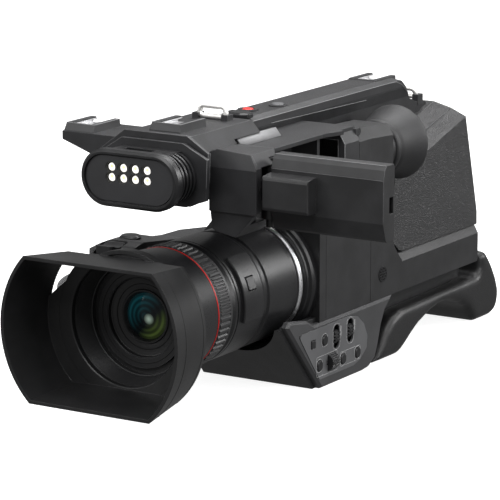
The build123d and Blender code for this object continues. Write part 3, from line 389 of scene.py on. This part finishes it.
# ---- building pieces --------------------------------------------------------------------
def add_object(name, mesh, material, body="camcorder", smooth=True):
    piece = bpy.data.objects.new(name, mesh)
    bpy.context.scene.collection.objects.link(piece)
    if smooth:
        mesh.polygons.foreach_set("use_smooth", [True] * len(mesh.polygons))
    dress(piece, material)
    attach(piece, body)
    return piece


def from_bmesh(name, bm):
    bmesh.ops.recalc_face_normals(bm, faces=bm.faces)
    mesh = bpy.data.meshes.new(name)
    bm.to_mesh(mesh)
    bm.free()
    return mesh


def applied(piece):
    """Replaces a piece's mesh with what its modifiers make of it."""
    graph = bpy.context.evaluated_depsgraph_get()
    mesh = bpy.data.meshes.new_from_object(piece.evaluated_get(graph))
    piece.modifiers.clear()
    piece.data = mesh
    mesh.polygons.foreach_set("use_smooth", [True] * len(mesh.polygons))


def ring_of(bm, points):
    return [bm.verts.new(point) for point in points]


def bridge(bm, one, two):
    """Quads between two closed loops with the same number of points."""
    for step in range(len(one)):
        after = (step + 1) % len(one)
        bm.faces.new((one[step], one[after], two[after], two[step]))


def turned_mesh(name, profile, centre, segments=128):
    """Closed (radius, y) profile in mm turned about a line along Y through centre, an (x, z) pair."""
    bm = bmesh.new()
    loops = []
    for step in range(segments):
        turn = 2 * math.pi * step / segments
        loops.append(ring_of(bm, [(centre[0] + r * MM * math.cos(turn), y * MM, centre[1] + r * MM * math.sin(turn))
                                  for r, y in profile]))
    for step in range(segments):
        bridge(bm, loops[step], loops[(step + 1) % segments])
    return from_bmesh(name, bm)


def line_piece(name, points, radius, material, closed=False, body="camcorder"):
    """Thin round line through points in mm."""
    curve = bpy.data.curves.new(name, "CURVE")
    curve.dimensions = "3D"
    curve.bevel_depth = radius * MM
    curve.bevel_resolution = 2
    curve.use_fill_caps = True
    spline = curve.splines.new("POLY")
    spline.points.add(len(points) - 1)
    for point, place in zip(spline.points, points):
        point.co = (*(value * MM for value in place), 1)
    spline.use_cyclic_u = closed
    piece = bpy.data.objects.new(name, curve)
    bpy.context.scene.collection.objects.link(piece)
    dress(piece, material)
    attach(piece, body)
    return piece


def rounded_path(points, radius, steps=6):
    """Closed outline of 2-D points with its corners rounded."""
    path = []
    count = len(points)
    for index, corner in enumerate(points):
        corner = Vector(corner)
        before = Vector(points[index - 1]) - corner
        after = Vector(points[(index + 1) % count]) - corner
        start = corner + before.normalized() * radius
        end = corner + after.normalized() * radius
        for step in range(steps + 1):
            t = step / steps
            path.append(tuple(start * (1 - t) ** 2 + corner * 2 * t * (1 - t) + end * t ** 2))
    return path


def smoothed(points, rounds=4):
    """Open path with its corners cut again and again, ends kept."""
    for _ in range(rounds):
        cut = [points[0]]
        for one, two in zip(points, points[1:]):
            cut += [one.lerp(two, 0.25), one.lerp(two, 0.75)]
        points = cut + [points[-1]]
    return points


def resampled(points, count):
    """Evenly spaced points along a path."""
    marks = [0.0]
    for one, two in zip(points, points[1:]):
        marks.append(marks[-1] + (two - one).length)
    even = []
    index = 0
    for step in range(count):
        goal = marks[-1] * step / (count - 1)
        while index < len(points) - 2 and marks[index + 1] < goal:
            index += 1
        share = (goal - marks[index]) / max(1e-9, marks[index + 1] - marks[index])
        even.append(points[index].lerp(points[index + 1], min(1.0, share)))
    return even


# ---- hand strap -------------------------------------------------------------------------
STRAP_ROUTE = [(-72, -93), (-92, -105), (-111, -80), (-117.5, -36), (-116, 10), (-97, 49), (-66, 48)]
STRAP_Z = 53.0
STRAP_STEPS = 220
STITCHED = slice(34, 192, 2)       # steps of the padded middle that carry a stitch
STITCH_RISE = 9.4                  # height of either row of stitches above or below the middle


def strap_frames():
    """Places along the strap in mm, each with its outward direction and its share of the length."""
    path = resampled(smoothed([Vector((x, y, STRAP_Z)) for x, y in STRAP_ROUTE]), STRAP_STEPS)
    frames = []
    for step, place in enumerate(path):
        ahead = path[min(step + 1, len(path) - 1)] - path[max(step - 1, 0)]
        ahead.normalize()
        outward = ahead.cross(Vector((0, 0, 1)))
        if outward.x > 0 and abs(outward.x) > abs(outward.y):
            outward = -outward
        frames.append((place, outward, step / (STRAP_STEPS - 1)))
    return frames


def band_mesh(name, half_height, half_thick, offset, first=0.0, last=1.0):
    """Band along the strap's path, pinched along two seams; its size depends on the place along it."""
    bm = bmesh.new()
    loops = []
    around = 40
    for place, outward, along in strap_frames():
        if not first <= along <= last:
            continue
        tall = half_height(along)
        thick = half_thick(along)
        loop = []
        for step in range(around):
            turn = 2 * math.pi * step / around
            rise = math.copysign(abs(math.sin(turn)) ** 0.55, math.sin(turn))
            out = math.copysign(abs(math.cos(turn)) ** 0.7, math.cos(turn))
            sewn = 1 - 0.38 * math.exp(-((abs(rise) - 0.72) / 0.07) ** 2)
            loop.append((place + outward * (offset(along) + out * thick * sewn)
                         + Vector((0, 0, rise * tall))) * MM)
        loops.append(ring_of(bm, loop))
    for one, two in zip(loops, loops[1:]):
        bridge(bm, one, two)
    bm.faces.new(loops[0])
    bm.faces.new(list(reversed(loops[-1])))
    return from_bmesh(name, bm)


def swell(along, low, high, start=0.14, end=0.88, soft=0.05):
    """Value that rises to high along the padded middle and stays low at both ends."""
    rise = 1 / (1 + math.exp(-(along - start) / (soft / 4)))
    fall = 1 / (1 + math.exp((along - end) / (soft / 4)))
    return low + (high - low) * rise * fall


def add_hand_strap():
    """Padded strap, the webbing over it and its two rows of stitches."""
    pad = add_object("hand_strap_pad", band_mesh("hand_strap_pad", lambda a: swell(a, 9.6, 13.0),
                                                 lambda a: swell(a, 1.0, 2.7), lambda a: 0.0), STRAP)
    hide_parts("hand_strap")
    webbing = add_object("hand_strap_webbing", band_mesh("hand_strap_webbing", lambda a: 7.2, lambda a: 0.8,
                                                         lambda a: swell(a, 1.5, 3.0), 0.02, 0.98), WEBBING)
    bm = bmesh.new()
    for place, outward, _ in strap_frames()[STITCHED]:
        for rise in (-STITCH_RISE, STITCH_RISE):
            spot = place + outward * 1.85 + Vector((0, 0, rise))
            ahead = outward.cross(Vector((0, 0, 1)))
            turn = Matrix((ahead, Vector((0, 0, 1)), outward)).transposed().to_4x4()
            shape = Matrix.Diagonal((1.05 * MM, 0.32 * MM, 0.34 * MM, 1))
            bmesh.ops.create_uvsphere(bm, u_segments=8, v_segments=6, radius=1.0,
                                      matrix=Matrix.Translation(spot * MM) @ turn @ shape)
    add_object("hand_strap_stitches", from_bmesh("hand_strap_stitches", bm), THREAD)


# ---- shoulder pad and eyecup ------------------------------------------------------------
def add_shoulder_pad():
    """Moulded foam pad: the CAD solid with its corners rolled over by remeshing and smoothing."""
    pad = add_object("shoulder_cushion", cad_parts["shoulder_pad"].data.copy(), PAD)
    remesh = pad.modifiers.new("remesh", "REMESH")
    remesh.mode = "VOXEL"
    remesh.voxel_size = 2.4 * MM
    smooth = pad.modifiers.new("smooth", "SMOOTH")
    smooth.factor = 0.5
    smooth.iterations = 4
    divide = pad.modifiers.new("divide", "SUBSURF")
    divide.levels = 1
    applied(pad)
    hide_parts("shoulder_pad")


def add_eyecup():
    """Soft eyecup that flares from its cuff to a folded lip."""
    low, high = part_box("vf_eyecup")
    centre = ((low.x + high.x) / 2, (low.z + high.z) / 2)
    outer = [(17.0, 61.2), (18.0, 61.6), (18.3, 62.6), (18.3, 64.4), (17.9, 65.2), (17.9, 66.0), (18.5, 66.8),
             (19.0, 69), (19.7, 72.5), (20.7, 76.5), (22.0, 80.5), (23.4, 84.3), (24.3, 86.8), (24.6, 88.2)]
    lip = [(24.5, 89.0), (24.0, 89.5), (23.3, 89.5), (22.6, 89.1)]
    inner = [(20.8, 87.4), (18.4, 84), (16.8, 80), (15.4, 74), (14.3, 68), (13.8, 63), (13.7, 61.2)]
    cup = add_object("soft_eyecup", turned_mesh("soft_eyecup", outer + lip + inner, centre), CUP, "viewfinder")
    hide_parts("vf_eyecup")


# ---- light ------------------------------------------------------------------------------
def dome_mesh(name, places, radius, rise, face_y):
    """Shallow domes that bulge forward from face_y."""
    bm = bmesh.new()
    for x, z in places:
        turn = Matrix.Translation((x, face_y, z)) @ Matrix.Diagonal((radius, rise, radius, 1))
        bmesh.ops.create_uvsphere(bm, u_segments=32, v_segments=16, radius=1.0, matrix=turn)
    return from_bmesh(name, bm)


def well_shade_ring(name, x, z):
    """Near-black ring on the wall of one lamp's well: painted shade."""
    profile = [(3.44, -162.75), (3.44, -159.95), (2.75, -159.95), (2.9, -160.6), (3.2, -162.4)]
    return add_object(name, turned_mesh(name, profile, (x * MM, z * MM), 48), SEAM_AND_SHADE)


def add_leds():
    """Eight lamp lenses, near-black rings painted as shade on the walls of their wells, and a warm core in each."""
    low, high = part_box("light_leds")
    radius = 2.6 * MM
    lens = 2.45 * MM
    step = (high.x - low.x - 2 * radius) / 3
    places = [(low.x + radius + step * column, z) for column in range(4) for z in (low.z + radius, high.z - radius)]
    lenses = add_object("led_lenses", dome_mesh("led_lenses", places, lens, 0.8 * MM, low.y + 0.1 * MM), LED)
    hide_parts("light_leds")
    for number, (x, z) in enumerate(places):
        well_shade_ring(f"led_well_shade_{number + 1}", x / MM, z / MM)
    cores = [(x + 0.2 * MM, z + 0.5 * MM) for x, z in places]
    add_object("led_cores", dome_mesh("led_cores", cores, 1.15 * MM, 0.35 * MM, low.y - 0.45 * MM), LED_CORE)


# ---- marks, seams, painted highlights and painted shade ---------------------------------
SIDE_X = 44.0              # face of the left case
LCD_END = 144.8            # outer end of the open screen
PLATE_X = 45.9             # face of the control plate
SLOTS = ((4.2, 30.5), (21.8, 31.0))    # (y, z) of the slide switches
BUTTONS = ((-16.9, 15.6), (-10.6, 31.1), (12.7, 14.0), (31.2, 14.2))    # (y, z) of the oval buttons
SLOT_RING = (8.9, 17.1)    # width and height of a switch's printed outline
BUTTON_RING = (7.4, 8.4)   # the same for a button
HOOD_REAR = -168
HOOD_LENGTH = 40
HOOD_REAR_R = 57.4
HOOD_FLARE = 6.1           # growth of the hood's radius from its rear to its mouth
HOOD_TOP = 39.8            # flat top above the lens axis, at the rear
HOOD_LOW = 42.6            # flat bottom below the lens axis, at the rear
HOOD_RISE = 4.0            # growth of either height from the rear to the mouth
HOOD_STEPS = 60


def side_loop(name, corners, radius, x, material, wire=0.16):
    """Rounded outline lying on a face that looks left; corners are (y, z) in mm."""
    path = [(x, y, z) for y, z in rounded_path(corners, radius)]
    return line_piece(name, path, wire, material, closed=True)


def rectangle(y, z):
    return [(y[0], z[0]), (y[1], z[0]), (y[1], z[1]), (y[0], z[1])]


def lens_arc(radius, y, turns):
    """Points in mm around the lens axis, at those angles in degrees from the left."""
    return [(radius * math.cos(math.radians(turn)), y, LENS_Z / MM + radius * math.sin(math.radians(turn)))
            for turn in turns]


def lens_circle(name, radius, y, wire, material):
    line_piece(name, lens_arc(radius, y, range(0, 360, 3)), wire, material, closed=True)


def add_hood_edges():
    """Two fine parting lines around the left of the hood, from its flat bottom to its flat top."""
    for number, (y, wire) in enumerate(((-196, 0.12), (-171.5, 0.14))):
        share = (HOOD_REAR - y) / HOOD_LENGTH
        radius = HOOD_REAR_R + HOOD_FLARE * share + 0.02
        end = math.degrees(math.asin((HOOD_TOP + HOOD_RISE * share) / radius))
        start = -math.degrees(math.asin((HOOD_LOW + HOOD_RISE * share) / radius))
        turns = [start + (end - start) * step / HOOD_STEPS for step in range(HOOD_STEPS + 1)]
        line_piece(f"hood_line_{number + 1}", lens_arc(radius, y, turns), wire, SEAM_AND_SHADE)


def add_lens_edges():
    """Pale lines painted as highlights on the rims of the stepped ring inside the lens, and dark lines painted as
    shade in the grooves between its steps.
    """
    for number, (radius, y, wire) in enumerate(((40.9, -165.1, 0.16), (35.2, -152.5, 0.18), (30.95, -151.1, 0.14),
                                                (25.1, -151.2, 0.14), (16.5, -147.2, 0.12))):
        lens_circle(f"lens_rim_highlight_{number + 1}", radius, y, wire, SOFT_HIGHLIGHT)
    for number, (radius, y) in enumerate(((39.2, -164.9), (28.1, -151.25), (20.3, -146.85))):
        lens_circle(f"lens_groove_shade_{number + 1}", radius, y, 0.2, SEAM_AND_SHADE)


def add_ridge_edges():
    """Pale lines painted as highlights on the edges of the ridges behind the light, two shoe seats, the housing and
    the hinge block.
    """
    fronts = [(-39.9, 160), (-40, 164), (-22, 175.5), (22, 175.5), (39, 167), (38.4, 150)]
    rears = [(-40.9, 162), (-41, 166), (-23, 179.3), (22, 179.3), (37, 170), (36.4, 152)]
    for name, y, path in (("ridge_front_highlight", -137.9, fronts), ("ridge_middle_highlight", -133.4, rears),
                          ("ridge_rear_highlight", -131.1, rears)):
        line_piece(name, [(x, y, z) for x, z in path], 0.2, SOFT_HIGHLIGHT)
    for name, x, front, base in (("front", 0.0, -121.0, 179.2), ("arm", -64.5, -119.0, 172.6)):
        top = base + 4.35
        line_piece(f"seat_edge_highlight_{name}", [(x - 10.4, front + 25, top), (x - 10.4, front - 1.2, top),
                                         (x + 10.4, front - 1.2, top), (x + 10.4, front + 25, top)], 0.3, EDGE_HIGHLIGHT)
    line_piece("housing_slope_highlight", [(22, -129, 178.4), (22, -62, 178.4)], 0.18, SOFT_HIGHLIGHT)
    line_piece("block_edge_highlight", [(58, -118.2, 168.9), (62.2, -118.6, 162.6)], 0.2, SOFT_HIGHLIGHT)
    line_piece("block_top_highlight", [(34.5, -118.6, 170.2), (57.6, -118.6, 168.9)], 0.2, SOFT_HIGHLIGHT)


def add_plate_marks():
    """Printed frames and outlines on the control plate, and the groove around it."""
    side_loop("dial_frame", rectangle((-20.6, 5.6), (8.6, 21.6)), 1.2, PLATE_X, PRINT, 0.09)
    side_loop("key_frame", rectangle((9.2, 34.8), (9.4, 18.8)), 1.2, PLATE_X, PRINT, 0.09)
    rings = [(place, SLOT_RING) for place in SLOTS] + [(place, BUTTON_RING) for place in BUTTONS]
    for number, ((y, z), (wide, tall)) in enumerate(rings):
        side_loop(f"plate_ring_{number + 1}", rectangle((y - wide / 2, y + wide / 2), (z - tall / 2, z + tall / 2)),
                  wide / 2.1, PLATE_X, PRINT, 0.1)
    for number, (y, z) in enumerate(((9.6, 33.5), (27.2, 34.0))):
        line_piece(f"slot_mark_{number + 1}", [(PLATE_X, y, z - 4), (PLATE_X, y, z + 3)], 0.28, PRINT)
    side_loop("plate_groove", [(-42.4, 40.2), (20, 40.7), (31, 38.3), (39.2, 31.8), (43.8, 23), (43.0, 15.2),
                               (34.8, 9.1), (25.9, 6.7), (-17.1, 6.7)], 2.2, PLATE_X - 0.25, SEAM_AND_SHADE, 0.22)


def add_case_lines():
    """Seams of the casings, and pale lines painted as highlights on the edges of handle, screen, viewfinder and rear
    box.
    """
    line_piece("side_seam", [(SIDE_X, 51, 44.2), (SIDE_X, 51, 103)], 0.16, SEAM_AND_SHADE)
    line_piece("front_panel_seam", [(SIDE_X, -6, 44.2), (SIDE_X, -6, 103)], 0.12, SEAM_AND_SHADE)
    line_piece("handle_edge_highlight", [(14.95, y, z) for y, z in ((-50, 174.85), (126, 174.85), (134.6, 174.5),
                                                          (142, 171.9), (150.6, 165.2))], 0.22, EDGE_HIGHLIGHT)
    line_piece("handle_rib_highlight", [(15.0, -25.7, 170.6), (15.0, 94, 167.9)], 0.2, EDGE_HIGHLIGHT)
    line_piece("screen_edge_highlight", [(LCD_END - 0.3, -108.1, 169.45), (68.6, -108.1, 169.45)], 0.24, EDGE_HIGHLIGHT,
               body="lcd_panel")
    line_piece("screen_fold_highlight", [(LCD_END - 0.2, -112, 161), (68.4, -112, 161)], 0.16, SOFT_HIGHLIGHT, body="lcd_panel")
    line_piece("screen_end_highlight", [(LCD_END, y, z) for y, z in ((-111.9, 135.4), (-111.9, 160.8), (-110.2, 166.8),
                                                          (-108.1, 169.3))], 0.16, SOFT_HIGHLIGHT, body="lcd_panel")
    side_loop("block_mark", rectangle((-118.3, -111), (146.4, 149.2)), 1.2, 63.5, SEAM_AND_SHADE, 0.2)
    line_piece("finder_frame_highlight", [(55.9, -3.9, 132), (55.9, -3.9, 157.5), (51, -3.9, 165.4)], 0.22, EDGE_HIGHLIGHT)
    line_piece("finder_opening_highlight", [(51.1, -3.9, 134), (51.1, -3.9, 159.9), (30, -3.9, 159.9)], 0.18, EDGE_HIGHLIGHT)
    line_piece("box_edge_highlight", [(29.2, 84, 123.3), (29.2, 184, 150.35)], 0.18, SOFT_HIGHLIGHT)
    line_piece("box_ridge_highlight", [(16.2, 108, 132.15), (16.2, 184, 153.9)], 0.18, SOFT_HIGHLIGHT)
    line_piece("arm_edge_highlight", [(49.9, -89, 166.1), (49.9, -21, 166.1), (54, -5, 166.1)], 0.16, SOFT_HIGHLIGHT)
    line_piece("housing_seam", [(30.05, -128, 156), (30.05, -122.3, 156)], 0.14, SEAM_AND_SHADE)


def add_bracket_highlight():
    """Pale strip painted as the highlight on the sloped edge of the viewfinder's bracket."""
    bm = bmesh.new()
    section = [(30.9, 166.1), (31.35, 166.5), (27.2, 171.55), (26.75, 171.15)]
    loops = [ring_of(bm, [(x * MM, y * MM, z * MM) for x, z in section]) for y in (-85.8, -40.2)]
    bridge(bm, loops[0], loops[1])
    bm.faces.new(loops[0])
    bm.faces.new(list(reversed(loops[1])))
    bmesh.ops.bevel(bm, geom=bm.edges[:], offset=0.15 * MM, segments=2, affect="EDGES")
    add_object("bracket_highlight_strip", from_bmesh("bracket_highlight_strip", bm), HIGHLIGHT_STRIP)


# ---- camera, floor and lights -----------------------------------------------------------
def add_camera():
    data = bpy.data.cameras.new("camera")
    data.lens = VIEW_LENS
    data.sensor_width = SENSOR
    data.clip_end = 20
    camera = bpy.data.objects.new("camera", data)
    bpy.context.scene.collection.objects.link(camera)
    forward = Vector((-math.sin(VIEW_AZIMUTH) * math.cos(VIEW_ELEVATION),
                      math.cos(VIEW_AZIMUTH) * math.cos(VIEW_ELEVATION), -math.sin(VIEW_ELEVATION)))
    camera.location = VIEW_FROM
    camera.rotation_mode = "QUATERNION"
    camera.rotation_quaternion = forward.to_track_quat("-Z", "Y")
    bpy.context.scene.camera = camera


def add_floor():
    """Bright studio floor that isn't reflected in the object."""
    bpy.ops.mesh.primitive_plane_add(size=14, location=(0, 0, -0.3 * MM))
    floor = bpy.context.object
    floor.name = "floor"
    n = Nodes("floor_pale")
    cloud = n.noise(0.5)
    n.link(n.blend(cloud, (0.56, 0.56, 0.56), (0.58, 0.58, 0.58)), n.shader.inputs["Base Color"])
    n.link(n.blend(cloud, (0.96, 0.96, 0.96), (0.98, 0.98, 0.98)), n.shader.inputs["Emission Color"])
    n.set(Roughness=0.85, Specular_IOR_Level=0.1, Emission_Strength=0.90)
    dress(floor, n.material)
    floor.visible_diffuse = False
    floor.visible_glossy = False


def add_light(name, place, size, power, target=(0, -0.02, 0.09)):
    data = bpy.data.lights.new(name, "AREA")
    data.shape = "RECTANGLE"
    data.size, data.size_y = size
    data.energy = power
    light = bpy.data.objects.new(name, data)
    light.location = place
    light.rotation_mode = "QUATERNION"
    light.rotation_quaternion = (Vector(target) - Vector(place)).to_track_quat("-Z", "Y")
    bpy.context.scene.collection.objects.link(light)


def add_lights():
    add_light("top_softbox", (0.1, -0.1, 1.3), (1.2, 1.0), 19)
    add_light("front_softbox", (0.25, -1.25, 1.25), (0.9, 0.4), 12)
    add_light("left_softbox", (-1.2, -1.1, 0.8), (0.7, 1.0), 9)
    add_light("right_softbox", (1.5, -0.3, 0.7), (0.5, 1.1), 10)
    add_light("rear_softbox", (1.15, 1.15, 0.72), (0.5, 0.6), 14)
    add_light("high_rear_softbox", (0.0, 0.85, 1.2), (0.9, 0.3), 9)
    world = bpy.data.worlds.new("studio")
    world.use_nodes = True
    back = world.node_tree.nodes["Background"]
    back.inputs["Color"].default_value = (1, 1, 1, 1)
    back.inputs["Strength"].default_value = 0.24
    bpy.context.scene.world = world
    bpy.context.scene.view_settings.view_transform = "Standard"


# ---- make everything --------------------------------------------------------------------
add_camera()
dress_frame()
add_hand_strap()
add_shoulder_pad()
add_eyecup()
add_leds()
add_plate_marks()
add_case_lines()
add_hood_edges()
add_lens_edges()
add_ridge_edges()
add_bracket_highlight()
add_floor()
add_lights()
